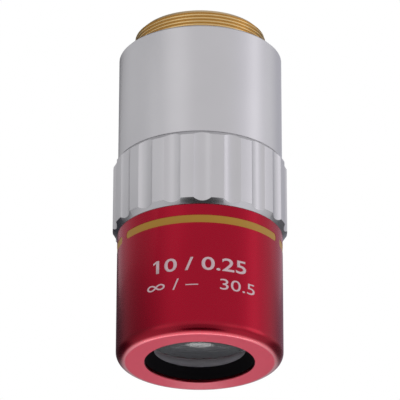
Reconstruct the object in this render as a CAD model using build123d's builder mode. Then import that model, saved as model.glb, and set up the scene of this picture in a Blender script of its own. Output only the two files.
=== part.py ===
from build123d import *

import os
from math import copysign, cos, degrees, radians, sin, sqrt

# Long working distance microscope objective, as the pieces that it comes apart into.
# Millimetres. +Z is the optical axis, from the nose up to the mounting thread.
# The origin is the centre of the nose face, on which the objective stands.
# Azimuths are in degrees, 0 at the front (-Y) and positive towards +X.

os.makedirs("parts", exist_ok=True)

# Clearances between pieces
turned_fit = 0.03          # radial, between turned pieces that slide into each other
glass_fit = 0.02           # radial, between a glass edge and its cell
nose_gap = 0.07            # radial, round the front cell in the nose opening
cement = 0.01              # cement layer between two glasses

# Walls and rims, from the glass outwards
cell_wall = 1.45
tube_wall = 1.35
sleeve_wall = 1.12
barrel_wall = 1.57
grip_rise = 0.9            # how far the grip ring stands out over the barrels
front_rim_wall = 0.53      # wall of the front cell beside the front lens
mount_wall = 2.4           # wall of the mount ring's spigot

# Lengths along the axis
front_barrel_length = 26.15
grip_length = 15.3
rear_barrel_length = 23.05
sleeve_engagement = 8.0    # how far the sleeve reaches into the front barrel
nose_wall = 2.0
tube_flange = 1.2
rear_flange = 4.0          # inward flange of the rear barrel, which carries the mount ring

# Edges of the outside
nose_fillet = 2.0
nose_edge_break = 0.12
joint_edge_break = 0.1
shoulder_chamfer = 0.45
grip_chamfer = 1.0

# Grip ring flutes
flute_count = 18
flute_cutter_radius = 3.55
flute_depth = 0.52
flute_azimuth = 1.5
flute_edge_radius = 0.15

# Enamel colour band in the front barrel
band_drop = 2.32           # upper edge of the band below the top of the front barrel
band_width = 1.57
band_depth = 0.3
band_gap = 7.0             # degrees of bare barrel between two arcs
band_gap_azimuths = (68.6, 181.9, 295.25)

# Mounting thread, M26 with 36 threads per inch, as a plain cylinder
thread_radius = 13.0
thread_length = 5.15
thread_chamfer = 0.9
thread_relief_width = 0.7  # undercut between the thread and the shoulder
thread_relief_depth = 0.55
mount_seat_depth = 1.0     # how deep the full-width ring sits in the rear barrel
mount_spigot_step = 1.0    # how much thinner the spigot is than the thread
mount_bore_chamfer = 0.5

# Front cell
cone_edge = 0.15           # flat front edge of the cone, round its mouth
cone_recess = 0.6          # front edge of the cone behind the nose face
cone_depth = 1.95
cell_chamfer = 0.2

# Seats and guards of the lens stack
seat_width = 1.1           # how far a cell's lip reaches in under its glass
lip = 0.7
guard = 0.4                # air between the last glass face and the top of its cell
glass_bevel = 0.12

# Spacers, stop and rings at the back of the stack
spacer_a_length = 1.5
spacer_b_length = 1.5
spacer_wall = 2.6
stop_radius = 5.3
stop_thickness = 0.6
stop_land = 0.15           # thickness of the stop's edge at its hole
lock_ring_length = 2.4
lock_ring_wall = 3.2
slot_width = 1.6
slot_depth = 1.0
shim_thickness = 0.4
shim_wall = 1.8

# Glass. A curve is a face's radius, positive where the face bulges to the front.
front_lens_radius = 9.9
front_lens_thickness = 4.2
front_lens_front_curve = -70.0
front_lens_rear_curve = -26.0

doublet_a_radius = 10.5
doublet_a_flint_thickness = 1.8
doublet_a_crown_thickness = 5.8
doublet_a_front_curve = 95.0
doublet_a_joint_curve = 27.0
doublet_a_rear_curve = -38.0

doublet_b_radius = 10.2
doublet_b_crown_thickness = 5.8
doublet_b_flint_thickness = 1.8
doublet_b_front_curve = 32.0
doublet_b_joint_curve = -34.0
doublet_b_rear_curve = -120.0

triplet_radius = 8.8
triplet_front_thickness = 1.6
triplet_middle_thickness = 6.2
triplet_rear_thickness = 1.8
triplet_front_curve = 24.0
triplet_front_joint_curve = 14.5
triplet_rear_joint_curve = -20.0
triplet_rear_curve = 40.0

inner_lens_radius = 7.6
inner_lens_thickness = 3.2
inner_lens_front_curve = 20.0
inner_lens_rear_curve = 60.0

rear_doublet_radius = 6.8
rear_crown_thickness = 1.6
rear_flint_thickness = 3.0
rear_front_curve = -26.0
rear_joint_curve = 14.0
rear_rear_curve = 90.0

# Radii that follow from the glass outwards
widest_glass = max(
    front_lens_radius,
    doublet_a_radius,
    doublet_b_radius,
    triplet_radius,
    inner_lens_radius,
    rear_doublet_radius,
)
cell_radius = widest_glass + glass_fit + cell_wall
tube_bore = cell_radius + turned_fit
tube_radius = tube_bore + tube_wall
sleeve_bore = tube_radius + turned_fit
sleeve_radius = sleeve_bore + sleeve_wall
sleeve_pocket = sleeve_radius + turned_fit
barrel_radius = sleeve_pocket + barrel_wall
grip_radius = barrel_radius + grip_rise
front_spigot_radius = front_lens_radius + glass_fit + front_rim_wall
cone_front_radius = front_spigot_radius - cone_edge
nose_opening = front_spigot_radius + nose_gap
mount_spigot_radius = thread_radius - mount_spigot_step
mount_bore_radius = mount_spigot_radius - mount_wall

# Heights that follow from the lengths
grip_base = front_barrel_length
grip_top = grip_base + grip_length
shoulder = grip_top + rear_barrel_length
sleeve_base = front_barrel_length - sleeve_engagement
mount_seat = shoulder - mount_seat_depth
rear_flange_base = shoulder - rear_flange
tube_top = rear_flange_base - shim_thickness
front_seat = cone_recess + cone_depth
band_top = front_barrel_length - band_drop
band_height = band_top - band_width


def save(part, name):
    """Label a finished piece and write it."""
    part.label = name
    export_step(part, f"parts/{name}.step")


def outward(azimuth):
    """Unit direction from the axis towards an azimuth."""
    return Vector(sin(radians(azimuth)), -cos(radians(azimuth)), 0)


def is_outside_pocket(edge):
    """True for an edge further from the axis than the sleeve's pocket."""
    middle = edge.center()
    return Vector(middle.X, middle.Y, 0).length > sleeve_pocket + turned_fit


def face_height(vertex, curve, radius):
    """Height of a spherical glass face at a distance from the axis."""
    return vertex + curve - copysign(sqrt(curve**2 - radius**2), curve)


def seat_heights(base, front_curve, glass_radius):
    """Heights of a cell's seat and of the front vertex of the glass that rests on it.

    A face that bulges to the front rests on the lip's inner edge, a hollow one on its own rim.
    """
    at_lip = face_height(0, front_curve, glass_radius - seat_width)
    at_rim = face_height(0, front_curve, glass_radius - glass_bevel)
    contact = min(at_lip, at_rim)
    seat = base + lip + max(contact, 0)
    return seat, seat - contact


def cell_top(rear_vertex, rear_curve, glass_radius):
    """Top of a cell, clear of its last glass face at the vertex and at the rim."""
    return max(rear_vertex, face_height(rear_vertex, rear_curve, glass_radius)) + guard


def make_glass(name, vertex, front_curve, thickness, rear_curve, radius):
    """One glass element between two spherical faces, with a ground and bevelled edge."""
    rear_vertex = vertex + thickness
    rim = radius - glass_bevel
    middle = rim / 2
    front_rim = face_height(vertex, front_curve, rim)
    rear_rim = face_height(rear_vertex, rear_curve, rim)
    with BuildPart() as glass:
        with BuildSketch(Plane.XZ):
            with BuildLine():
                ThreePointArc(
                    (0, vertex),
                    (middle, face_height(vertex, front_curve, middle)),
                    (rim, front_rim),
                )
                Polyline(
                    (rim, front_rim),
                    (radius, front_rim + glass_bevel),
                    (radius, rear_rim - glass_bevel),
                    (rim, rear_rim),
                )
                ThreePointArc(
                    (rim, rear_rim),
                    (middle, face_height(rear_vertex, rear_curve, middle)),
                    (0, rear_vertex),
                )
                Line((0, rear_vertex), (0, vertex))
            make_face()
        revolve(axis=Axis.Z)
    save(glass.part, name)
    return rear_vertex


def make_cell(name, base, seat, top, glass_radius):
    """Turned ring with a lip that seats the glass and a bore around its edge."""
    opening = glass_radius - seat_width
    bore = glass_radius + glass_fit
    with BuildPart() as cell:
        with BuildSketch(Plane.XZ):
            with BuildLine():
                Polyline(
                    (opening, base),
                    (cell_radius, base),
                    (cell_radius, top),
                    (bore, top),
                    (bore, seat),
                    (opening, seat),
                    close=True,
                )
            make_face()
        revolve(axis=Axis.Z)
        outer_corners = cell.edges().filter_by(GeomType.CIRCLE).group_by(SortBy.RADIUS)[-1]
        chamfer(outer_corners, cell_chamfer)
    save(cell.part, name)


def make_spacer(name, base, length):
    """Plain ring between two cells, with broken outer corners."""
    with BuildPart() as spacer:
        with BuildSketch(Plane.XY.offset(base)):
            Circle(cell_radius)
            Circle(cell_radius - spacer_wall, mode=Mode.SUBTRACT)
        extrude(amount=length)
        outer_corners = spacer.edges().filter_by(GeomType.CIRCLE).group_by(SortBy.RADIUS)[-1]
        chamfer(outer_corners, cell_chamfer)
    save(spacer.part, name)
    return base + length


# Colour band: enamel arcs with round ends, flush with the front barrel
band_middle = band_height + band_width / 2
band_floor = barrel_radius - band_depth
end_angle = degrees(band_width / 2 / barrel_radius)

with BuildPart() as colour_band:
    for index, gap_azimuth in enumerate(band_gap_azimuths):
        previous_gap = band_gap_azimuths[index - 1] - (360 if index == 0 else 0)
        first_end = previous_gap + band_gap / 2 + end_angle
        last_end = gap_azimuth - band_gap / 2 - end_angle
        start_side = Plane(
            origin=(0, 0, band_middle),
            x_dir=outward(first_end),
            z_dir=outward(first_end + 90) * -1,
        )
        with BuildSketch(start_side):
            with Locations((barrel_radius, 0)):
                Rectangle(2 * band_depth, band_width)
        revolve(axis=Axis.Z, revolution_arc=last_end - first_end)
        for end_azimuth in (first_end, last_end):
            end_face = Plane(
                origin=outward(end_azimuth) * (band_floor - band_depth) + Vector(0, 0, band_middle),
                x_dir=(0, 0, 1),
                z_dir=outward(end_azimuth),
            )
            with BuildSketch(end_face):
                Circle(band_width / 2)
            extrude(amount=3 * band_depth)
    with BuildSketch(Plane.XY.offset(band_height)):
        Circle(barrel_radius)
        Circle(band_floor, mode=Mode.SUBTRACT)
    extrude(amount=band_width, mode=Mode.INTERSECT)
save(colour_band.part, "colour_band")

# Front barrel: rounded nose with an opening, a bore for the lens tube and a pocket for the sleeve
with BuildPart() as front_barrel:
    with BuildSketch(Plane.XZ):
        with BuildLine():
            Polyline(
                (nose_opening, 0),
                (barrel_radius, 0),
                (barrel_radius, front_barrel_length),
                (sleeve_pocket, front_barrel_length),
                (sleeve_pocket, sleeve_base),
                (sleeve_bore, sleeve_base),
                (sleeve_bore, nose_wall),
                (nose_opening, nose_wall),
                close=True,
            )
        make_face()
    revolve(axis=Axis.Z)
    nose_circles = front_barrel.edges().filter_by(GeomType.CIRCLE).group_by(Axis.Z)[0]
    fillet(nose_circles.sort_by(SortBy.RADIUS)[-1], nose_fillet)
    nose_circles = front_barrel.edges().filter_by(GeomType.CIRCLE).group_by(Axis.Z)[0]
    chamfer(nose_circles.sort_by(SortBy.RADIUS)[0], nose_edge_break)
    top_circles = front_barrel.edges().filter_by(GeomType.CIRCLE).group_by(Axis.Z)[-1]
    chamfer(top_circles.sort_by(SortBy.RADIUS)[-1], joint_edge_break)
    add(colour_band.part, mode=Mode.SUBTRACT)
save(front_barrel.part, "front_barrel")

# Grip ring: chamfered ring with straight flutes, trapped between the two barrels
with BuildPart() as grip_ring:
    with BuildSketch(Plane.XY.offset(grip_base)):
        Circle(grip_radius)
        Circle(sleeve_pocket, mode=Mode.SUBTRACT)
    extrude(amount=grip_length)
    outer_corners = grip_ring.edges().filter_by(GeomType.CIRCLE).group_by(SortBy.RADIUS)[-1]
    chamfer(outer_corners, grip_chamfer)
    with BuildSketch(Plane.XY.offset(grip_base)):
        with PolarLocations(
            grip_radius - flute_depth + flute_cutter_radius,
            flute_count,
            start_angle=flute_azimuth - 90,
        ):
            Circle(flute_cutter_radius)
    extrude(amount=grip_length, mode=Mode.SUBTRACT)
    upright_edges = grip_ring.edges().filter_by(Axis.Z).filter_by(is_outside_pocket)
    fillet(upright_edges, flute_edge_radius)
save(grip_ring.part, "grip_ring")

# Rear barrel: shoulder at the top, an inward flange, and the sleeve that holds the three casings in line
with BuildPart() as rear_barrel:
    with BuildSketch(Plane.XZ):
        with BuildLine():
            Polyline(
                (sleeve_bore, sleeve_base),
                (sleeve_radius, sleeve_base),
                (sleeve_radius, grip_top),
                (barrel_radius, grip_top),
                (barrel_radius, shoulder),
                (thread_radius + turned_fit, shoulder),
                (thread_radius + turned_fit, mount_seat),
                (mount_spigot_radius + turned_fit, mount_seat),
                (mount_spigot_radius + turned_fit, rear_flange_base),
                (sleeve_bore, rear_flange_base),
                close=True,
            )
        make_face()
    revolve(axis=Axis.Z)
    barrel_circles = rear_barrel.edges().filter_by(GeomType.CIRCLE).group_by(SortBy.RADIUS)[-1]
    chamfer(barrel_circles.sort_by(Axis.Z)[-1], shoulder_chamfer)
    barrel_circles = rear_barrel.edges().filter_by(GeomType.CIRCLE).group_by(SortBy.RADIUS)[-1]
    chamfer(barrel_circles.sort_by(Axis.Z)[0], joint_edge_break)
save(rear_barrel.part, "rear_barrel")

# Mount ring: the thread's cylinder over the shoulder, seated in the rear barrel, and a spigot below
with BuildPart() as mount_ring:
    with BuildSketch(Plane.XZ):
        with BuildLine():
            Polyline(
                (mount_bore_radius, rear_flange_base),
                (mount_spigot_radius, rear_flange_base),
                (mount_spigot_radius, mount_seat),
                (thread_radius, mount_seat),
                (thread_radius, shoulder),
                (thread_radius - thread_relief_depth, shoulder),
                (thread_radius - thread_relief_depth, shoulder + thread_relief_width),
                (thread_radius, shoulder + thread_relief_width),
                (thread_radius, shoulder + thread_length),
                (mount_bore_radius, shoulder + thread_length),
                close=True,
            )
        make_face()
    revolve(axis=Axis.Z)
    top_circles = mount_ring.edges().filter_by(GeomType.CIRCLE).group_by(Axis.Z)[-1]
    chamfer(top_circles.sort_by(SortBy.RADIUS)[-1], thread_chamfer)
    top_circles = mount_ring.edges().filter_by(GeomType.CIRCLE).group_by(Axis.Z)[-1]
    chamfer(top_circles.sort_by(SortBy.RADIUS)[0], mount_bore_chamfer)
save(mount_ring.part, "mount_ring")

# Lens tube: stands on the nose wall inside and carries the stack on its front flange
with BuildPart() as lens_tube:
    with BuildSketch(Plane.XZ):
        with BuildLine():
            Polyline(
                (nose_opening, nose_wall),
                (tube_radius, nose_wall),
                (tube_radius, tube_top),
                (tube_bore, tube_top),
                (tube_bore, nose_wall + tube_flange),
                (nose_opening, nose_wall + tube_flange),
                close=True,
            )
        make_face()
    revolve(axis=Axis.Z)
    outer_corners = lens_tube.edges().filter_by(GeomType.CIRCLE).group_by(SortBy.RADIUS)[-1]
    chamfer(outer_corners, cell_chamfer)
save(lens_tube.part, "lens_tube")

# Shim between the lens tube and the rear barrel's flange
with BuildPart() as parfocal_shim:
    with BuildSketch(Plane.XY.offset(tube_top)):
        Circle(tube_radius)
        Circle(tube_radius - shim_wall, mode=Mode.SUBTRACT)
    extrude(amount=shim_thickness)
save(parfocal_shim.part, "parfocal_shim")

# Front lens and its cell, whose spigot and cone reach through the tube's flange and the nose
front_vertex = front_seat - face_height(0, front_lens_front_curve, front_lens_radius - glass_bevel)
front_rear_vertex = make_glass(
    "front_lens",
    front_vertex,
    front_lens_front_curve,
    front_lens_thickness,
    front_lens_rear_curve,
    front_lens_radius,
)
front_cell_top = cell_top(front_rear_vertex, front_lens_rear_curve, front_lens_radius)
with BuildPart() as front_cell:
    with BuildSketch(Plane.XZ):
        with BuildLine():
            Polyline(
                (cone_front_radius, cone_recess),
                (front_spigot_radius, cone_recess),
                (front_spigot_radius, nose_wall + tube_flange),
                (cell_radius, nose_wall + tube_flange),
                (cell_radius, front_cell_top),
                (front_lens_radius + glass_fit, front_cell_top),
                (front_lens_radius + glass_fit, front_seat),
                (front_lens_radius - seat_width, front_seat),
                close=True,
            )
        make_face()
    revolve(axis=Axis.Z)
    outer_corners = front_cell.edges().filter_by(GeomType.CIRCLE).group_by(SortBy.RADIUS)[-1]
    chamfer(outer_corners, cell_chamfer)
save(front_cell.part, "front_cell")

# First doublet: a thin flint meniscus cemented to a thick crown
doublet_a_base = front_cell_top
doublet_a_seat, doublet_a_vertex = seat_heights(doublet_a_base, doublet_a_front_curve, doublet_a_radius)
doublet_a_joint = make_glass(
    "doublet_a_flint",
    doublet_a_vertex,
    doublet_a_front_curve,
    doublet_a_flint_thickness,
    doublet_a_joint_curve,
    doublet_a_radius,
)
doublet_a_rear = make_glass(
    "doublet_a_crown",
    doublet_a_joint + cement,
    doublet_a_joint_curve,
    doublet_a_crown_thickness,
    doublet_a_rear_curve,
    doublet_a_radius,
)
doublet_a_top = cell_top(doublet_a_rear, doublet_a_rear_curve, doublet_a_radius)
make_cell("doublet_a_cell", doublet_a_base, doublet_a_seat, doublet_a_top, doublet_a_radius)

# Second doublet: a thick crown cemented to a thin flint
doublet_b_base = doublet_a_top
doublet_b_seat, doublet_b_vertex = seat_heights(doublet_b_base, doublet_b_front_curve, doublet_b_radius)
doublet_b_joint = make_glass(
    "doublet_b_crown",
    doublet_b_vertex,
    doublet_b_front_curve,
    doublet_b_crown_thickness,
    doublet_b_joint_curve,
    doublet_b_radius,
)
doublet_b_rear = make_glass(
    "doublet_b_flint",
    doublet_b_joint + cement,
    doublet_b_joint_curve,
    doublet_b_flint_thickness,
    doublet_b_rear_curve,
    doublet_b_radius,
)
doublet_b_top = cell_top(doublet_b_rear, doublet_b_rear_curve, doublet_b_radius)
make_cell("doublet_b_cell", doublet_b_base, doublet_b_seat, doublet_b_top, doublet_b_radius)

# Triplet: a steep crown cemented between two flints
triplet_base = make_spacer("spacer_a", doublet_b_top, spacer_a_length)
triplet_seat, triplet_vertex = seat_heights(triplet_base, triplet_front_curve, triplet_radius)
triplet_front_joint = make_glass(
    "triplet_front",
    triplet_vertex,
    triplet_front_curve,
    triplet_front_thickness,
    triplet_front_joint_curve,
    triplet_radius,
)
triplet_rear_joint = make_glass(
    "triplet_middle",
    triplet_front_joint + cement,
    triplet_front_joint_curve,
    triplet_middle_thickness,
    triplet_rear_joint_curve,
    triplet_radius,
)
triplet_rear_vertex = make_glass(
    "triplet_rear",
    triplet_rear_joint + cement,
    triplet_rear_joint_curve,
    triplet_rear_thickness,
    triplet_rear_curve,
    triplet_radius,
)
triplet_top = cell_top(triplet_rear_vertex, triplet_rear_curve, triplet_radius)
make_cell("triplet_cell", triplet_base, triplet_seat, triplet_top, triplet_radius)

# Single meniscus behind the triplet
inner_base = triplet_top
inner_seat, inner_vertex = seat_heights(inner_base, inner_lens_front_curve, inner_lens_radius)
inner_rear = make_glass(
    "inner_lens",
    inner_vertex,
    inner_lens_front_curve,
    inner_lens_thickness,
    inner_lens_rear_curve,
    inner_lens_radius,
)
inner_top = cell_top(inner_rear, inner_lens_rear_curve, inner_lens_radius)
make_cell("inner_cell", inner_base, inner_seat, inner_top, inner_lens_radius)

# Negative rear doublet
rear_base = make_spacer("spacer_b", inner_top, spacer_b_length)
rear_seat, rear_vertex = seat_heights(rear_base, rear_front_curve, rear_doublet_radius)
rear_joint = make_glass(
    "rear_crown",
    rear_vertex,
    rear_front_curve,
    rear_crown_thickness,
    rear_joint_curve,
    rear_doublet_radius,
)
rear_last = make_glass(
    "rear_flint",
    rear_joint + cement,
    rear_joint_curve,
    rear_flint_thickness,
    rear_rear_curve,
    rear_doublet_radius,
)
rear_top = cell_top(rear_last, rear_rear_curve, rear_doublet_radius)
make_cell("rear_cell", rear_base, rear_seat, rear_top, rear_doublet_radius)

# Aperture stop: thin disc on the rear cell, with a knife edge round its hole
with BuildPart() as aperture_stop:
    with BuildSketch(Plane.XZ):
        with BuildLine():
            Polyline(
                (stop_radius, rear_top),
                (cell_radius, rear_top),
                (cell_radius, rear_top + stop_thickness),
                (stop_radius + stop_thickness - stop_land, rear_top + stop_thickness),
                (stop_radius, rear_top + stop_land),
                close=True,
            )
        make_face()
    revolve(axis=Axis.Z)
save(aperture_stop.part, "aperture_stop")

# Lock ring: holds the stack down, with a slot across it for a pin spanner
lock_base = rear_top + stop_thickness
with BuildPart() as lock_ring:
    with BuildSketch(Plane.XY.offset(lock_base)):
        Circle(cell_radius)
        Circle(cell_radius - lock_ring_wall, mode=Mode.SUBTRACT)
    extrude(amount=lock_ring_length)
    outer_corners = lock_ring.edges().filter_by(GeomType.CIRCLE).group_by(SortBy.RADIUS)[-1]
    chamfer(outer_corners, cell_chamfer)
    with BuildSketch(Plane.XY.offset(lock_base + lock_ring_length)):
        Rectangle(2 * cell_radius, slot_width)
    extrude(amount=-slot_depth, mode=Mode.SUBTRACT)
save(lock_ring.part, "lock_ring")
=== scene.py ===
import math

import bpy
from mathutils import Matrix, Vector


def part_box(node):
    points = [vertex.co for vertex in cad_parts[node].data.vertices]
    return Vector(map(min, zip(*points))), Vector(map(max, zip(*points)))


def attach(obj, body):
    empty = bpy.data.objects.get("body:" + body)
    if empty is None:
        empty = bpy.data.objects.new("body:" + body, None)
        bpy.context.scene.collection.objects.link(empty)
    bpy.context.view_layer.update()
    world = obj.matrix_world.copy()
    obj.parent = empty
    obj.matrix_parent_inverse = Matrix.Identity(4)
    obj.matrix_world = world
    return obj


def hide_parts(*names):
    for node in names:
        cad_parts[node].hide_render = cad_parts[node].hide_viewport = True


# Microscope objective with a red front barrel, a fluted grip ring and a brass mounting thread.
# Metres. +Z is the optical axis, from the nose up to the thread, and the front is -Y.
# Azimuths are in degrees, 0 at the front and positive towards +X.

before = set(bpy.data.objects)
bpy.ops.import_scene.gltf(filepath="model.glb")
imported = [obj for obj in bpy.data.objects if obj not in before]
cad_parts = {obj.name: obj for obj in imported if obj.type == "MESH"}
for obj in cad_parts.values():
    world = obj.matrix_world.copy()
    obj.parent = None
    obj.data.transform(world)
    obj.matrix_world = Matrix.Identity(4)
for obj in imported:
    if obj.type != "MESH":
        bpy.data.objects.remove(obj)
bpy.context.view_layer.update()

MM = 0.001

# Fineness of the meshes
MERGE_DISTANCE = 0.002 * MM
ROUND_SEGMENTS = 288          # segments round the axis of a turned piece
LENS_SEGMENTS = 144           # segments round the front lens
LENS_RINGS = 16               # rings from the middle of a lens face to its rim
NOSE_FILLET_SEGMENTS = 14     # segments across the rounded nose
FLUTE_SEGMENTS = 160          # segments round the cutter of a flute
FLUTE_EDGE_SEGMENTS = 3       # segments across a rounded edge of the grip ring
THREAD_STEPS = 144            # steps in one turn of the thread
BAND_CORNER_SEGMENTS = 10     # segments in each of the two corners that make a round end
BAND_STRIP = 0.35 * MM        # widest flat strip of the colour band
MARK_STRIP = 0.4 * MM         # widest flat strip of a printed row
FLOOR_SEGMENTS = 96

# Angles between faces, in degrees
SMOOTH_ANGLE = 32             # a sharper edge than this stays crisp
THREAD_SMOOTH_ANGLE = 25      # the same on the mounting thread
ROUNDED_ANGLE = 26            # a sharper edge than this is rounded on the grip ring
FLAT_ANGLE = 0.05             # faces that meet flatter than this become one there

# Outer sizes, read from the CAD parts
barrel_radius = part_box("front_barrel")[1].x
joint_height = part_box("front_barrel")[1].z
grip_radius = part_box("grip_ring")[1].x
grip_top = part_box("grip_ring")[1].z
sleeve_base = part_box("rear_barrel")[0].z
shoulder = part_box("rear_barrel")[1].z
thread_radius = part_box("mount_ring")[1].x
flange_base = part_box("mount_ring")[0].z
mount_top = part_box("mount_ring")[1].z
tube_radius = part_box("lens_tube")[1].x
nose_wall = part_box("lens_tube")[0].z
band_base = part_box("colour_band")[0].z
band_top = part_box("colour_band")[1].z
cell_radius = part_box("front_cell")[1].x
cone_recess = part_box("front_cell")[0].z
front_cell_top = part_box("front_cell")[1].z
lens_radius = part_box("front_lens")[1].x
lens_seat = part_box("front_lens")[0].z

# Walls, fits and edges of the casings
turned_fit = 0.03 * MM
sleeve_wall = 1.12 * MM
nose_fillet = 2.0 * MM
nose_edge_break = 0.12 * MM
joint_edge_break = 0.1 * MM
shoulder_chamfer = 0.45 * MM
sleeve_bore = tube_radius + turned_fit
sleeve_radius = sleeve_bore + sleeve_wall
sleeve_pocket = sleeve_radius + turned_fit

# Grip ring
grip_chamfer = 1.0 * MM
flute_count = 18
flute_cutter_radius = 3.55 * MM
flute_cutter_overrun = 1.0 * MM
flute_depth = 0.52 * MM
flute_azimuth = 1.5
flute_edge_setback = 0.046 * MM
shortest_edge = 0.6 * flute_edge_setback
chamfer_tool_overrun = 0.5 * MM

# Colour band
band_depth = 0.3 * MM
band_gap = 7.0                # degrees
band_gap_azimuths = (68.6, 181.9, 295.25)
band_end_radius = 0.499 * (band_top - band_base)
enamel_sink = 0.04 * MM       # how far the enamel lies below the barrel's surface

# Mounting thread, 26 mm with 36 threads per inch
thread_pitch = 25.4 * MM / 36
thread_depth = 0.40 * MM
thread_crest = 0.11 * MM
thread_root = 0.13 * MM
thread_chamfer = 0.9 * MM
thread_relief_width = 0.7 * MM
thread_relief_depth = 0.55 * MM
thread_cutter_overrun = 0.1 * MM
widest_thread_cutter = 0.98 * thread_pitch
mount_seat_depth = 1.0 * MM
mount_spigot_step = 1.0 * MM
mount_wall = 2.4 * MM
mount_bore_chamfer = 0.5 * MM
mount_spigot_radius = thread_radius - mount_spigot_step
mount_bore_radius = mount_spigot_radius - mount_wall

# Front cell and front lens
glass_fit = 0.02 * MM
front_rim_wall = 0.53 * MM
cone_edge = 0.15 * MM
tube_flange = 1.2 * MM
cell_chamfer = 0.2 * MM
seat_width = 1.1 * MM
nose_gap = 0.07 * MM
glass_bevel = 0.12 * MM
lens_front_curve = 70.0 * MM
lens_rear_curve = 26.0 * MM
lens_thickness = 4.2 * MM
front_spigot_radius = lens_radius + glass_fit + front_rim_wall
nose_opening = front_spigot_radius + nose_gap

# Glass behind the front lens
inner_glasses = (
    "doublet_a_flint",
    "doublet_a_crown",
    "doublet_b_crown",
    "doublet_b_flint",
    "triplet_front",
    "triplet_middle",
    "triplet_rear",
    "inner_lens",
    "rear_crown",
    "rear_flint",
)

# Where the red finish changes, in heights over the nose face. A fade runs between two of them.
nose_face_end = 0.03 * MM
bright_edge_fade = (0.12 * MM, 0.5 * MM)
rounded_nose_fade = (0.8 * nose_fillet, 1.2 * nose_fillet)

# Which faces of the grip ring are its chamfers, by the upright part of their normals
chamfer_slope = (0.4, 0.95)

# Frosted edge of the front lens: how far over the seat it is all black, and how uneven that is. The
# pale strip under that is a painted highlight: lit through the glass, it gives the light arc seen
# in the lens.
pale_strip_height = 4.5 * MM
pale_strip_waver = 0.3 * MM

# Rows printed on the front barrel, plain figures and signs only. Each has its text, the height of
# its figures, its height on the barrel, its width, and how far its strokes are widened.
mark_rows = {
    "upper_figures": ("10 / 0.25", 2.6 * MM, 13.6 * MM, 18.0 * MM, 0.05 * MM),
    "lower_figures": ("∞ / –   30.5", 2.2 * MM, 9.6 * MM, 22.0 * MM, 0.0),
}
mark_azimuth = 1.0
mark_thickness = 0.03 * MM
mark_rise = 0.012 * MM        # how far the ink stands over the barrel's surface
figure_share = 0.7            # height of a figure in the built-in font, as a share of its type size

# Flag of the figure 1, which the built-in font draws as a bare stem
flag_reach = 0.62 * MM        # how far the tip stands out from the stem
flag_overlap = 0.05 * MM      # how far the flag runs into the stem
flag_drop = 0.42 * MM         # how far the tip lies below the top of the stem
flag_tip_stroke = 0.38 * MM
flag_stem_stroke = 0.46 * MM
stem_edge = 0.1 * MM          # strip at the left of the row in which the stem's top is found

# What surrounds the object in the studio, lights it and shows in its metal. Each panel has an
# azimuth and elevation in degrees, the half angle inside which it is full, the half angle at which
# it has faded out, and its light. A later panel covers an earlier one.
surround = (0.80, 0.80, 0.81)
studio_panels = {
    "front_wall": (0, 32, 30, 70, (0.98, 0.97, 0.98)),
    "rear_wall": (180, 28, 12, 36, (0.50, 0.50, 0.52)),
    "left_wall": (-118, 24, 12, 76, (0.31, 0.31, 0.32)),
    "left_rear_wall": (-156, 24, 8, 34, (0.06, 0.06, 0.07)),
    "right_panel": (80, 25, 12, 34, (1.04, 1.03, 1.08)),
    "right_rear_wall": (156, 24, 8, 40, (0.28, 0.28, 0.34)),
    "front_gap": (0, -36, 12, 34, (0.45, 0.45, 0.45)),
    "left_low_panel": (-48, -4, 5, 22, (1.20, 1.20, 1.20)),
    "middle_low_panel": (46, -3, 5, 20, (1.35, 1.35, 1.35)),
    "right_low_panel": (78, 5, 6, 22, (2.10, 2.05, 2.10)),
    "right_chamfer_panel": (78, -53, 10, 30, (1.05, 1.05, 1.08)),
    "dark_gap_left": (-14, -66, 9, 18, (0.0, 0.0, 0.0)),
    "dark_gap_middle": (5, -66, 9, 18, (0.0, 0.0, 0.0)),
    "dark_gap_right": (24, -66, 9, 18, (0.02, 0.02, 0.02)),
    "left_card": (-138, -12, 14, 30, (0.04, 0.04, 0.05)),
    "right_card": (138, -12, 14, 30, (0.15, 0.15, 0.16)),
    "rear_low_panel": (180, -56, 16, 36, (2.30, 2.25, 2.30)),
    "rear_gap": (180, -26, 3, 8, (1.36, 1.38, 1.50)),
}

# Lamps near the object: one for the rounded nose, one for the front lens and four for the upper
# silver. Each has the height on the axis that it faces, its azimuth, elevation and distance, its
# width and height, and its light.
nose_height = 0.0
upper_silver = (grip_top + shoulder) / 2
studio_lamps = {
    "low_rear_strip": (nose_height, (180, -47, 0.6), (0.45, 0.03), 6.0),
    "lens_lamp": (nose_height, (180, -20, 0.6), (0.022, 0.036), 5.4),
    "upper_left_box": (upper_silver, (-106, 24, 0.16), (0.32, 0.08), 0.60),
    "upper_front_box": (upper_silver, (-42, 24, 0.16), (0.15, 0.09), 0.28),
    "upper_right_strip": (upper_silver, (80, 24, 0.16), (0.04, 0.06), 0.42),
    "upper_rear_box": (upper_silver, (135, 24, 0.16), (0.18, 0.09), 0.36),
}

# Floor, which fades out between two distances from the axis
floor_radius = 0.9
floor_fade = (0.2, 0.75)
floor_shade = (0.9, 0.9, 0.9, 1)

# Camera, at the photograph's angle: it looks up at the object from below the nose
camera_rise = 24.40           # degrees that the camera looks up
camera_distance = 670.0 * MM
camera_aim = 34.17 * MM       # height of the point on the axis at the middle of the frame
camera_lens = 308.3           # millimetres of focal length on a sensor 36 wide
camera_roll = -0.13           # degrees


def pick(piece):
    """Make the piece the only one selected, and the active one."""
    bpy.ops.object.select_all(action="DESELECT")
    piece.select_set(True)
    bpy.context.view_layer.objects.active = piece


def begin(name, add, **size):
    """Add a primitive with nothing else selected, and leave its object unturned at the origin."""
    bpy.ops.object.select_all(action="DESELECT")
    add(**size)
    piece = bpy.context.object
    piece.name = name
    piece.data.name = name
    bpy.ops.object.transform_apply(location=True, rotation=True, scale=True)
    return piece


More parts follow.
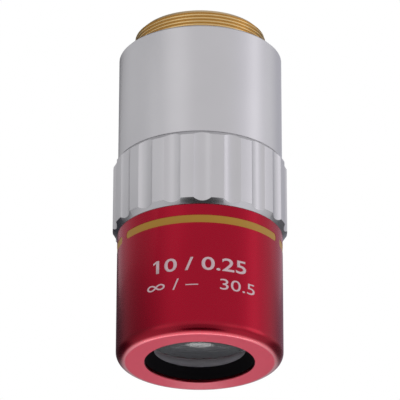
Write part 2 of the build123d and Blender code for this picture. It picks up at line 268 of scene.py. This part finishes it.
def edit_selected(piece, test):
    """Open the piece in edit mode with the vertices that pass the test selected."""
    pick(piece)
    bpy.ops.object.mode_set(mode="EDIT")
    bpy.ops.mesh.select_mode(type="VERT")
    bpy.ops.mesh.select_all(action="DESELECT")
    bpy.ops.object.mode_set(mode="OBJECT")
    for vertex in piece.data.vertices:
        vertex.select = test(vertex.co)
    bpy.ops.object.mode_set(mode="EDIT")


def apply_modifier(piece, kind, **settings):
    """Add a modifier with its settings and apply it."""
    pick(piece)
    modifier = piece.modifiers.new(kind.lower(), kind)
    for setting, value in settings.items():
        setattr(modifier, setting, value)
    bpy.ops.object.modifier_apply(modifier=modifier.name)


def cut(piece, cutter):
    """Cut a tool's shape out of the piece, and remove the tool."""
    apply_modifier(piece, "BOOLEAN", object=cutter, operation="DIFFERENCE", solver="EXACT")
    bpy.data.meshes.remove(cutter.data)


def join(pieces, name):
    """Join several pieces into one."""
    pick(pieces[0])
    for piece in pieces[1:]:
        piece.select_set(True)
    bpy.ops.object.join()
    pieces[0].name = name
    pieces[0].data.name = name
    return pieces[0]


def soften(piece, setback, shortest):
    """Round the sharp edges of the piece, after flat faces are united and short edges merged."""
    edit_selected(piece, lambda place: True)
    bpy.ops.mesh.dissolve_limited(angle_limit=math.radians(FLAT_ANGLE))
    bpy.ops.mesh.select_all(action="SELECT")
    bpy.ops.mesh.remove_doubles(threshold=shortest)
    bpy.ops.object.mode_set(mode="OBJECT")
    apply_modifier(
        piece,
        "BEVEL",
        width=setback,
        segments=FLUTE_EDGE_SEGMENTS,
        limit_method="ANGLE",
        angle_limit=math.radians(ROUNDED_ANGLE),
    )


def polish(piece, angle=SMOOTH_ANGLE):
    """Shade smooth up to the angle, with the large faces deciding the normals."""
    pick(piece)
    bpy.ops.object.shade_smooth_by_angle(angle=math.radians(angle))
    apply_modifier(piece, "WEIGHTED_NORMAL", keep_sharp=True)


def turn(name, profile, filled=False, segments=ROUND_SEGMENTS):
    """A turned piece: a circle extruded along the (radius, height) points of its section.

    The section closes on its first point, or with filled on a small disc at each end.
    """
    radius, height = profile[0]
    piece = begin(
        name,
        bpy.ops.mesh.primitive_circle_add,
        vertices=segments,
        radius=radius,
        location=(0, 0, height),
        fill_type="NGON" if filled else "NOTHING",
    )
    bpy.ops.object.mode_set(mode="EDIT")
    bpy.ops.mesh.select_mode(type="EDGE")
    for next_radius, next_height in profile[1:] + ([] if filled else profile[:1]):
        scale = next_radius / radius
        bpy.ops.mesh.extrude_edges_indiv()
        bpy.ops.transform.translate(value=(0, 0, next_height - height))
        bpy.ops.transform.resize(value=(scale, scale, 1), center_override=(0, 0, next_height))
        radius, height = next_radius, next_height
    if filled:
        bpy.ops.mesh.edge_face_add()
    bpy.ops.mesh.select_all(action="SELECT")
    bpy.ops.mesh.remove_doubles(threshold=MERGE_DISTANCE)
    bpy.ops.mesh.normals_make_consistent(inside=False)
    bpy.ops.object.mode_set(mode="OBJECT")
    return piece


def slice_upright(piece, widest):
    """Cut a flat piece into upright strips, so that it can follow a round surface."""
    low = min(vertex.co.x for vertex in piece.data.vertices)
    high = max(vertex.co.x for vertex in piece.data.vertices)
    count = int((high - low) / widest)
    bpy.ops.object.mode_set(mode="EDIT")
    for index in range(1, count + 1):
        bpy.ops.mesh.select_all(action="SELECT")
        bpy.ops.mesh.bisect(
            plane_co=(low + index * (high - low) / (count + 1), 0, 0),
            plane_no=(1, 0, 0),
        )
    bpy.ops.object.mode_set(mode="OBJECT")


def wrap(piece, radius, azimuth, height):
    """Lay a flat piece, drawn in X and Y, round the axis, centred on an azimuth and a height."""
    for vertex in piece.data.vertices:
        angle = math.radians(azimuth) + vertex.co.x / radius
        vertex.co = (
            radius * math.sin(angle),
            -radius * math.cos(angle),
            height + vertex.co.y,
        )


def fit(piece, node, finish):
    """Seat a finished piece in place of its CAD node."""
    piece.data.materials.clear()
    piece.data.materials.append(finish)
    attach(piece, "root")
    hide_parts(node)
    return piece


class Value:
    """A number that changes over a surface. Python's operators add the Math nodes."""

    def __init__(self, finish, socket):
        self.finish = finish
        self.socket = socket

    def _maths(self, operation, first, second):
        settings = {"operation": operation}
        return self.finish.node("ShaderNodeMath", settings, {0: first, 1: second})

    def __add__(self, other):
        return self._maths("ADD", self, other)

    def __radd__(self, other):
        return self._maths("ADD", other, self)

    def __sub__(self, other):
        return self._maths("SUBTRACT", self, other)

    def __rsub__(self, other):
        return self._maths("SUBTRACT", other, self)

    def __mul__(self, other):
        return self._maths("MULTIPLY", self, other)

    def __rmul__(self, other):
        return self._maths("MULTIPLY", other, self)


class Finish:
    """The nodes of a procedural material or world."""

    def __init__(self, owner):
        self.owner = owner
        owner.use_nodes = True
        self.tree = owner.node_tree
        self.tree.nodes.clear()

    def node(self, kind, settings=None, inputs=None, output=0):
        """Add a node with its settings and inputs, and return one of its outputs as a Value."""
        node = self.tree.nodes.new(kind)
        for setting, value in (settings or {}).items():
            setattr(node, setting, value)
        for name, value in (inputs or {}).items():
            if isinstance(value, Value):
                self.tree.links.new(value.socket, node.inputs[name])
            else:
                node.inputs[name].default_value = value
        return Value(self, node.outputs[output]) if node.outputs else None

    def place(self):
        """Object coordinates, in metres."""
        return self.node("ShaderNodeTexCoord", output="Object")

    def height(self):
        """Height over the nose face, in metres."""
        return self.node("ShaderNodeSeparateXYZ", {}, {0: self.place()}, output="Z")

    def noise(self, size, detail=2.0):
        """Soft noise from 0 to 1 whose features are about the given size in metres."""
        inputs = {"Vector": self.place(), "Scale": 1 / size, "Detail": detail}
        return self.node("ShaderNodeTexNoise", {}, inputs)

    def step(self, value, start, end):
        """0 before start, 1 after end, and smooth between them."""
        inputs = {"Value": value, "From Min": start, "From Max": end}
        return self.node("ShaderNodeMapRange", {"interpolation_type": "SMOOTHSTEP"}, inputs)

    def blend(self, factor, first, second):
        """A mix of two colours, which are the Mix node's inputs 6 and 7 and its output 2."""
        inputs = {"Factor": factor, 6: first, 7: second}
        return self.node("ShaderNodeMix", {"data_type": "RGBA"}, inputs, output=2)

    def larger(self, first, second):
        """The larger of two values."""
        return self.node("ShaderNodeMath", {"operation": "MAXIMUM"}, {0: first, 1: second})

    def bump(self, height, distance, strength):
        """A normal that follows a height, whose full range stands for the distance in metres."""
        inputs = {"Height": height, "Distance": distance, "Strength": strength}
        return self.node("ShaderNodeBump", {}, inputs)

    def surface(self, **sockets):
        """The Principled shader with the given sockets, whose underscores stand for spaces."""
        inputs = {name.replace("_", " "): value for name, value in sockets.items()}
        shader = self.node("ShaderNodeBsdfPrincipled", {}, inputs)
        self.node("ShaderNodeOutputMaterial", {}, {"Surface": shader})
        return self.owner


def colour(red, green, blue):
    """A linear colour from the values 0 to 255 that a screen shows."""
    parts = []
    for part in (red, green, blue):
        share = part / 255
        parts.append(share / 12.92 if share <= 0.04045 else ((share + 0.055) / 1.055) ** 2.4)
    return (*parts, 1.0)


def material(name):
    """An empty procedural material."""
    return Finish(bpy.data.materials.new(name))


def silver_finish(name, roughness):
    """Silvery plating with a fine grain and faint cloudy unevenness."""
    finish = material(name)
    grain = finish.noise(0.16 * MM, detail=3.0)
    cloud = finish.noise(9.0 * MM)
    tone = finish.blend(cloud, colour(181, 180, 183), colour(187, 186, 189))
    return finish.surface(
        Base_Color=tone,
        Metallic=1.0,
        Roughness=roughness + 0.05 * grain,
        Normal=finish.bump(grain, 0.004 * MM, 0.6),
    )


def red_anodised_finish():
    """Dyed anodising: coloured metal under a thin clear layer.

    The flat nose face is a little rougher. The clear layer is stronger on the rounded nose, and
    strongest at the edge where that meets the face.
    """
    finish = material("red_anodised")
    grain = finish.noise(0.2 * MM, detail=3.0)
    cloud = finish.noise(7.0 * MM)
    height = finish.height()
    above_face = finish.step(height, 0, nose_face_end)
    bright_edge = above_face * (1 - finish.step(height, *bright_edge_fade))
    rounded_nose = above_face * (1 - finish.step(height, *rounded_nose_fade))
    tone = finish.blend(cloud, colour(144, 9, 34), colour(149, 11, 37))
    return finish.surface(
        Base_Color=tone,
        Metallic=1.0,
        Roughness=0.32 - 0.07 * above_face + 0.04 * grain,
        Specular_Tint=(1.0, 0.80, 0.86, 1.0),
        Coat_Weight=0.09 + 0.04 * above_face + 0.12 * rounded_nose + 0.7 * bright_edge,
        Coat_Roughness=0.1,
        Normal=finish.bump(grain, 0.003 * MM, 0.5),
    )


def brass_finish():
    """Turned brass with fine lines round the axis and a slightly dull skin."""
    finish = material("turned_brass")
    lines = finish.node(
        "ShaderNodeTexNoise",
        {"noise_dimensions": "1D"},
        {"W": finish.height(), "Scale": 1 / (0.05 * MM), "Detail": 2.0},
    )
    cloud = finish.noise(3.0 * MM)
    tone = finish.blend(cloud, colour(202, 171, 116), colour(211, 183, 133))
    return finish.surface(
        Base_Color=tone,
        Metallic=1.0,
        Roughness=0.30 + 0.08 * cloud,
        Normal=finish.bump(lines, 0.002 * MM, 0.5),
    )


def yellow_enamel_finish():
    """Opaque enamel, nearly smooth."""
    finish = material("yellow_enamel")
    cloud = finish.noise(2.5 * MM)
    tone = finish.blend(cloud, colour(154, 113, 26), colour(160, 118, 32))
    ripple = finish.noise(1.2 * MM)
    return finish.surface(
        Base_Color=tone,
        Roughness=0.38 + 0.06 * cloud,
        Specular_IOR_Level=0.3,
        Normal=finish.bump(ripple, 0.01 * MM, 0.3),
    )


def mark_ink_finish():
    """Pale ink, a little uneven where it was pressed."""
    finish = material("pale_ink")
    grain = finish.noise(0.15 * MM)
    tone = finish.blend(grain, colour(182, 158, 164), colour(196, 172, 178))
    return finish.surface(Base_Color=tone, Roughness=0.5 + 0.1 * grain)


def black_anodised_finish(name, shade, roughness, gloss):
    """Black dyed aluminium with a faint grain."""
    finish = material(name)
    grain = finish.noise(0.12 * MM)
    dark = colour(shade, shade - 1, shade + 1)
    light = colour(shade + 7, shade + 6, shade + 8)
    return finish.surface(
        Base_Color=finish.blend(grain, dark, light),
        Roughness=roughness + 0.08 * grain,
        Specular_IOR_Level=gloss,
        Normal=finish.bump(grain, 0.003 * MM, 0.5),
    )


def coated_glass_finish(name, index, roughness):
    """Optical glass, with a low index that stands for the coating against reflections."""
    finish = material(name)
    cloud = finish.noise(4.0 * MM)
    return finish.surface(
        Base_Color=finish.blend(cloud, colour(240, 238, 250), colour(255, 255, 255)),
        Roughness=roughness,
        IOR=index,
        Transmission_Weight=1.0,
    )


def ground_glass_finish():
    """The frosted edge of a lens, pale at the seat and black towards the rear. The pale strip at
    the seat is a painted highlight: lit through the glass, it gives the light arc seen in the lens.
    """
    finish = material("ground_glass")
    grain = finish.noise(0.1 * MM)
    height = finish.height() + pale_strip_waver * grain
    # Painted highlight: the edge is pale at the seat and turns black higher up, to give the light
    # arc seen in the lens.
    above_pale_strip = finish.step(height, lens_seat, lens_seat + pale_strip_height)
    tone = finish.blend(above_pale_strip, colour(222, 220, 224), colour(20, 19, 21))
    return finish.surface(Base_Color=tone, Roughness=0.7 + 0.1 * grain)


def band_arcs(name, radius, depth):
    """Arcs with round ends that lie in one ring, from a radius inwards."""
    arcs = []
    for index, gap_azimuth in enumerate(band_gap_azimuths):
        previous_gap = band_gap_azimuths[index - 1] - (360 if index == 0 else 0)
        length = math.radians(gap_azimuth - previous_gap - band_gap) * barrel_radius
        arc = begin(f"{name}_{index}", bpy.ops.mesh.primitive_plane_add, size=1)
        bpy.ops.object.mode_set(mode="EDIT")
        bpy.ops.transform.resize(value=(length, band_top - band_base, 1))
        bpy.ops.mesh.bevel(
            offset=band_end_radius,
            segments=BAND_CORNER_SEGMENTS,
            affect="VERTICES",
        )
        bpy.ops.object.mode_set(mode="OBJECT")
        slice_upright(arc, BAND_STRIP)
        for vertex in arc.data.vertices:
            vertex.co.x *= radius / barrel_radius
        wrap(arc, radius, (gap_azimuth + previous_gap) / 2, (band_base + band_top) / 2)
        apply_modifier(arc, "SOLIDIFY", thickness=depth, offset=-1)
        arcs.append(arc)
    return join(arcs, name)


def front_barrel():
    """The red casing: rounded nose, opening for the front cell, pocket for the sleeve."""
    piece = turn(
        "red_barrel",
        [
            (nose_opening + nose_edge_break, 0),
            (barrel_radius, 0),
            (barrel_radius, joint_height - joint_edge_break),
            (barrel_radius - joint_edge_break, joint_height),
            (sleeve_pocket, joint_height),
            (sleeve_pocket, sleeve_base),
            (sleeve_bore, sleeve_base),
            (sleeve_bore, nose_wall),
            (nose_opening, nose_wall),
            (nose_opening, nose_edge_break),
        ],
    )
    nose_rim = barrel_radius - MERGE_DISTANCE
    edit_selected(piece, lambda place: place.z < MERGE_DISTANCE and place.xy.length > nose_rim)
    bpy.ops.mesh.bevel(offset=nose_fillet, segments=NOSE_FILLET_SEGMENTS, affect="EDGES")
    bpy.ops.object.mode_set(mode="OBJECT")
    cut(piece, band_arcs("band_groove", barrel_radius + enamel_sink, band_depth + enamel_sink))
    polish(piece)
    return piece


def colour_band():
    """The enamel that fills the three grooves."""
    piece = band_arcs("enamel_band", barrel_radius - enamel_sink, band_depth - enamel_sink)
    polish(piece)
    return piece


def flute_cutters():
    """A cylinder for each flute, longer than the grip ring at both ends."""
    reach = grip_radius - flute_depth + flute_cutter_radius
    cutters = []
    for index in range(flute_count):
        angle = math.radians(flute_azimuth + index * 360 / flute_count)
        cutters.append(
            begin(
                f"flute_{index}",
                bpy.ops.mesh.primitive_cylinder_add,
                vertices=FLUTE_SEGMENTS,
                radius=flute_cutter_radius,
                depth=grip_top - joint_height + 2 * flute_cutter_overrun,
                location=(
                    reach * math.sin(angle),
                    -reach * math.cos(angle),
                    (grip_top + joint_height) / 2,
                ),
            )
        )
    return join(cutters, "flutes")


def grip_ring():
    """The ring with straight flutes: a plain ring, cut flutes, then chamfers and rounded edges."""
    piece = turn(
        "silver_grip",
        [
            (sleeve_pocket, joint_height),
            (grip_radius, joint_height),
            (grip_radius, grip_top),
            (sleeve_pocket, grip_top),
        ],
    )
    cut(piece, flute_cutters())
    near = grip_radius - grip_chamfer - chamfer_tool_overrun
    far = grip_radius + chamfer_tool_overrun
    for end, inward in ((joint_height, 1), (grip_top, -1)):
        outside = end - inward * chamfer_tool_overrun
        inside = end + inward * (grip_chamfer + chamfer_tool_overrun)
        cut(piece, turn("chamfer_tool", [(near, outside), (far, outside), (far, inside)]))
    soften(piece, flute_edge_setback, shortest_edge)
    polish(piece)
    return piece


def finish_chamfers(grip):
    """Give the grip ring's lower chamfer a turned finish and its upper one a frosted finish."""
    lower, upper = 1, 2
    grip.data.materials.append(silver_finish("turned_silver", 0.20))
    grip.data.materials.append(silver_finish("frosted_silver", 0.65))
    for face in grip.data.polygons:
        if chamfer_slope[0] < abs(face.normal.z) < chamfer_slope[1]:
            face.material_index = lower if face.normal.z < 0 else upper


def rear_barrel():
    """The silver casing: shoulder, inward flange and the long sleeve inside the other casings."""
    piece = turn(
        "silver_barrel",
        [
            (sleeve_bore, sleeve_base),
            (sleeve_radius, sleeve_base),
            (sleeve_radius, grip_top),
            (barrel_radius - joint_edge_break, grip_top),
            (barrel_radius, grip_top + joint_edge_break),
            (barrel_radius, shoulder - shoulder_chamfer),
            (barrel_radius - shoulder_chamfer, shoulder),
            (thread_radius + turned_fit, shoulder),
            (thread_radius + turned_fit, shoulder - mount_seat_depth),
            (mount_spigot_radius + turned_fit, shoulder - mount_seat_depth),
            (mount_spigot_radius + turned_fit, flange_base),
            (sleeve_bore, flange_base),
        ],
    )
    polish(piece)
    return piece


def thread_groove():
    """The groove that the threading tool cuts: a blunt V moved along a helix."""
    reach = thread_depth + thread_cutter_overrun
    mouth = thread_pitch - thread_crest
    slope = (mouth - thread_root) / thread_depth
    outer_width = min(mouth + slope * thread_cutter_overrun, widest_thread_cutter)
    start = shoulder + thread_relief_width / 2 - thread_pitch / 2
    turns = math.ceil((mount_top - start) / thread_pitch) + 1
    groove = begin("thread_groove", bpy.ops.mesh.primitive_plane_add, size=1)
    bpy.ops.object.mode_set(mode="EDIT")
    bpy.ops.transform.resize(value=(reach, thread_root, 1))
    bpy.ops.object.mode_set(mode="OBJECT")
    edit_selected(groove, lambda place: place.x > 0)
    bpy.ops.transform.resize(value=(1, outer_width / thread_root, 1), center_override=(0, 0, 0))
    bpy.ops.mesh.select_all(action="SELECT")
    bpy.ops.mesh.delete(type="ONLY_FACE")
    bpy.ops.object.mode_set(mode="OBJECT")
    middle = thread_radius - thread_depth + reach / 2
    for vertex in groove.data.vertices:
        vertex.co = (middle + vertex.co.x, 0, start + vertex.co.y)
    apply_modifier(
        groove,
        "SCREW",
        axis="Z",
        angle=2 * math.pi,
        screw_offset=thread_pitch,
        iterations=turns,
        steps=THREAD_STEPS,
        render_steps=THREAD_STEPS,
        use_merge_vertices=False,
    )
    bpy.ops.object.mode_set(mode="EDIT")
    bpy.ops.mesh.select_all(action="SELECT")
    bpy.ops.mesh.fill_holes(sides=4)
    bpy.ops.mesh.select_all(action="SELECT")
    bpy.ops.mesh.normals_make_consistent(inside=False)
    bpy.ops.object.mode_set(mode="OBJECT")
    return groove


def mount_ring():
    """The brass ring with its helical thread."""
    relief = thread_radius - thread_relief_depth
    piece = turn(
        "brass_mount",
        [
            (mount_bore_radius, flange_base),
            (mount_spigot_radius, flange_base),
            (mount_spigot_radius, shoulder - mount_seat_depth),
            (thread_radius, shoulder - mount_seat_depth),
            (thread_radius, shoulder),
            (relief, shoulder),
            (relief, shoulder + thread_relief_width),
            (thread_radius, shoulder + thread_relief_width),
            (thread_radius, mount_top - thread_chamfer),
            (thread_radius - thread_chamfer, mount_top),
            (mount_bore_radius + mount_bore_chamfer, mount_top),
            (mount_bore_radius, mount_top - mount_bore_chamfer),
        ],
    )
    cut(piece, thread_groove())
    polish(piece, THREAD_SMOOTH_ANGLE)
    return piece


def front_cell():
    """The black cone in the nose, which holds the front lens."""
    piece = turn(
        "black_cone",
        [
            (front_spigot_radius - cone_edge, cone_recess),
            (front_spigot_radius, cone_recess),
            (front_spigot_radius, nose_wall + tube_flange),
            (cell_radius - cell_chamfer, nose_wall + tube_flange),
            (cell_radius, nose_wall + tube_flange + cell_chamfer),
            (cell_radius, front_cell_top - cell_chamfer),
            (cell_radius - cell_chamfer, front_cell_top),
            (lens_radius + glass_fit, front_cell_top),
            (lens_radius + glass_fit, lens_seat),
            (lens_radius - seat_width, lens_seat),
        ],
    )
    polish(piece)
    return piece


def sag(curve, radius):
    """How far a round lens face falls back from its middle to a radius."""
    return curve - math.sqrt(curve**2 - radius**2)


def front_lens():
    """The front glass: hollow towards the object, with a ground and bevelled edge."""
    rim = lens_radius - glass_bevel
    front_vertex = lens_seat + sag(lens_front_curve, rim)
    rear_vertex = front_vertex + lens_thickness
    radii = [rim * (index + 1) / LENS_RINGS for index in range(LENS_RINGS)]
    front = [(radius, front_vertex - sag(lens_front_curve, radius)) for radius in radii]
    rear = [(radius, rear_vertex - sag(lens_rear_curve, radius)) for radius in reversed(radii)]
    edge = [
        (lens_radius, front[-1][1] + glass_bevel),
        (lens_radius, rear[0][1] - glass_bevel),
    ]
    piece = turn("front_glass", front + edge + rear, filled=True, segments=LENS_SEGMENTS)
    polish(piece)
    return piece


def frost_edge(lens):
    """Give the edge of the front lens and its bevels their ground finish."""
    lens.data.materials.append(ground_glass_finish())
    for face in lens.data.polygons:
        face.material_index = int(face.center.xy.length > lens_radius - glass_bevel)


def one_flag(mark):
    """The short slanted stroke at the top of the figure 1, which starts the row."""
    left = min(vertex.co.x for vertex in mark.data.vertices)
    stem = [vertex.co.y for vertex in mark.data.vertices if vertex.co.x < left + stem_edge]
    top = max(stem)
    tip = (left - flag_reach, top - flag_drop)
    root = (left + flag_overlap, top)
    flag = begin("one_flag", bpy.ops.mesh.primitive_plane_add, size=1)
    corners = (
        (tip[0], tip[1] - flag_tip_stroke, 0),
        (root[0], root[1] - flag_stem_stroke, 0),
        (*tip, 0),
        (*root, 0),
    )
    for vertex, corner in zip(flag.data.vertices, corners):
        vertex.co = corner
    return flag


def printed_mark(name, figures, figure_height, height, width, widening):
    """A row of plain figures, laid round the barrel and centred near the front."""
    bpy.ops.object.select_all(action="DESELECT")
    bpy.ops.object.text_add()
    text = bpy.context.object
    text.data.body = figures
    text.data.align_x = "CENTER"
    text.data.align_y = "CENTER"
    text.data.size = figure_height / figure_share
    text.data.offset = widening
    text.data.resolution_u = 6
    bpy.ops.object.convert(target="MESH")
    mark = bpy.context.object
    mark.name = name
    mark.data.name = name
    stretch = width / mark.dimensions.x
    places = [vertex.co.x for vertex in mark.data.vertices]
    centre = (min(places) + max(places)) / 2
    for vertex in mark.data.vertices:
        vertex.co.x = (vertex.co.x - centre) * stretch
    if figures.startswith("1"):
        mark = join([mark, one_flag(mark)], name)
    slice_upright(mark, MARK_STRIP)
    wrap(mark, barrel_radius + mark_rise, mark_azimuth, height)
    apply_modifier(mark, "SOLIDIFY", thickness=mark_thickness, offset=-1)
    return mark


def print_marks():
    """The printed rows, which have no CAD node of their own."""
    ink = mark_ink_finish()
    for name, row in mark_rows.items():
        mark = printed_mark(name, *row)
        mark.data.materials.append(ink)
        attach(mark, "root")


def finish_inner_nodes():
    """Black or glass for every CAD node. Only those inside the object are left to show it."""
    inner_black = black_anodised_finish("inner_black", 18, 0.5, 0.2)
    inner_glass = coated_glass_finish("inner_glass", 1.05, 0.2)
    for name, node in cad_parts.items():
        node.data.materials.clear()
        node.data.materials.append(inner_glass if name in inner_glasses else inner_black)


def dress_object():
    """Every piece of the objective, with its finish."""
    silver = silver_finish("satin_silver", 0.32)
    cone_black = black_anodised_finish("cone_black", 5, 0.6, 0.03)
    glass = coated_glass_finish("coated_glass", 1.13, 0.06)
    fit(front_barrel(), "front_barrel", red_anodised_finish())
    fit(colour_band(), "colour_band", yellow_enamel_finish())
    finish_chamfers(fit(grip_ring(), "grip_ring", silver))
    fit(rear_barrel(), "rear_barrel", silver)
    fit(mount_ring(), "mount_ring", brass_finish())
    fit(front_cell(), "front_cell", cone_black)
    frost_edge(fit(front_lens(), "front_lens", glass))
    print_marks()
    finish_inner_nodes()


def toward(azimuth, elevation):
    """Unit direction from the object towards an azimuth and elevation."""
    side = math.radians(azimuth)
    rise = math.radians(elevation)
    return Vector(
        (
            math.sin(side) * math.cos(rise),
            -math.cos(side) * math.cos(rise),
            math.sin(rise),
        )
    )


def paint_studio():
    """The world: white for the camera and through glass, and the studio's panels otherwise."""
    world = bpy.data.worlds.new("studio")
    bpy.context.scene.world = world
    studio = Finish(world)
    direction = studio.node("ShaderNodeTexCoord", output="Generated")
    light = (*surround, 1)
    for azimuth, elevation, full, faded, panel in studio_panels.values():
        closeness = studio.node(
            "ShaderNodeVectorMath",
            {"operation": "DOT_PRODUCT"},
            {0: direction, 1: toward(azimuth, elevation)},
            output="Value",
        )
        outer = math.cos(math.radians(faded))
        inner = math.cos(math.radians(full))
        light = studio.blend(studio.step(closeness, outer, inner), light, (*panel, 1))
    seen = studio.node("ShaderNodeLightPath", output="Is Camera Ray")
    through = studio.node("ShaderNodeLightPath", output="Is Transmission Ray")
    shown = studio.blend(studio.larger(seen, through), light, (1, 1, 1, 1))
    shader = studio.node("ShaderNodeBackground", {}, {"Color": shown, "Strength": 1.0})
    studio.node("ShaderNodeOutputWorld", {}, {"Surface": shader})


def soft_box(name, aim, place, size, radiance):
    """A flat oval lamp, out of the camera's sight, that faces a height on the axis."""
    azimuth, elevation, distance = place
    width, height = size
    direction = toward(azimuth, elevation)
    lamp = bpy.data.lights.new(name, "AREA")
    lamp.shape = "ELLIPSE"
    lamp.size = width
    lamp.size_y = height
    area = math.pi / 4 * width * height
    lamp.energy = radiance * math.pi * area
    box = bpy.data.objects.new(name, lamp)
    bpy.context.scene.collection.objects.link(box)
    box.visible_camera = False
    box.location = Vector((0, 0, aim)) + direction * distance
    box.rotation_mode = "QUATERNION"
    box.rotation_quaternion = direction.to_track_quat("Z", "Y")


def light_the_scene():
    """The studio's panels and lamps."""
    paint_studio()
    for name, lamp in studio_lamps.items():
        soft_box(name, *lamp)


def lay_floor():
    """A pale floor under the nose, seen only from above and faded out before its edge."""
    floor = begin(
        "floor",
        bpy.ops.mesh.primitive_circle_add,
        vertices=FLOOR_SEGMENTS,
        radius=floor_radius,
        fill_type="NGON",
    )
    paint = material("pale_floor")
    camera_ray = paint.node("ShaderNodeLightPath", output="Is Camera Ray")
    back_side = paint.node("ShaderNodeNewGeometry", output="Backfacing")
    distance = paint.node(
        "ShaderNodeVectorMath",
        {"operation": "LENGTH"},
        {0: paint.place()},
        output="Value",
    )
    seen = camera_ray * (1 - back_side) * (1 - paint.step(distance, *floor_fade))
    diffuse = paint.node("ShaderNodeBsdfDiffuse", {}, {"Color": floor_shade})
    clear = paint.node("ShaderNodeBsdfTransparent")
    mixed = paint.node("ShaderNodeMixShader", {}, {0: seen, 1: clear, 2: diffuse})
    paint.node("ShaderNodeOutputMaterial", {}, {"Surface": mixed})
    floor.data.materials.append(paint.owner)


def place_camera():
    """The camera that gives the photograph's view."""
    camera = bpy.data.objects.new("camera", bpy.data.cameras.new("camera"))
    bpy.context.scene.collection.objects.link(camera)
    camera.data.lens = camera_lens
    camera.data.clip_start = 0.01
    camera.data.clip_end = 10
    rise = math.radians(camera_rise)
    camera.location = (
        0,
        -camera_distance * math.cos(rise),
        camera_aim - camera_distance * math.sin(rise),
    )
    tilt = Matrix.Rotation(math.pi / 2 + rise, 4, "X")
    roll = Matrix.Rotation(-math.radians(camera_roll), 4, "Z")
    camera.rotation_euler = (tilt @ roll).to_euler()
    bpy.context.scene.camera = camera


place_camera()
dress_object()
light_the_scene()
lay_floor()
bpy.context.scene.view_settings.view_transform = "Standard"
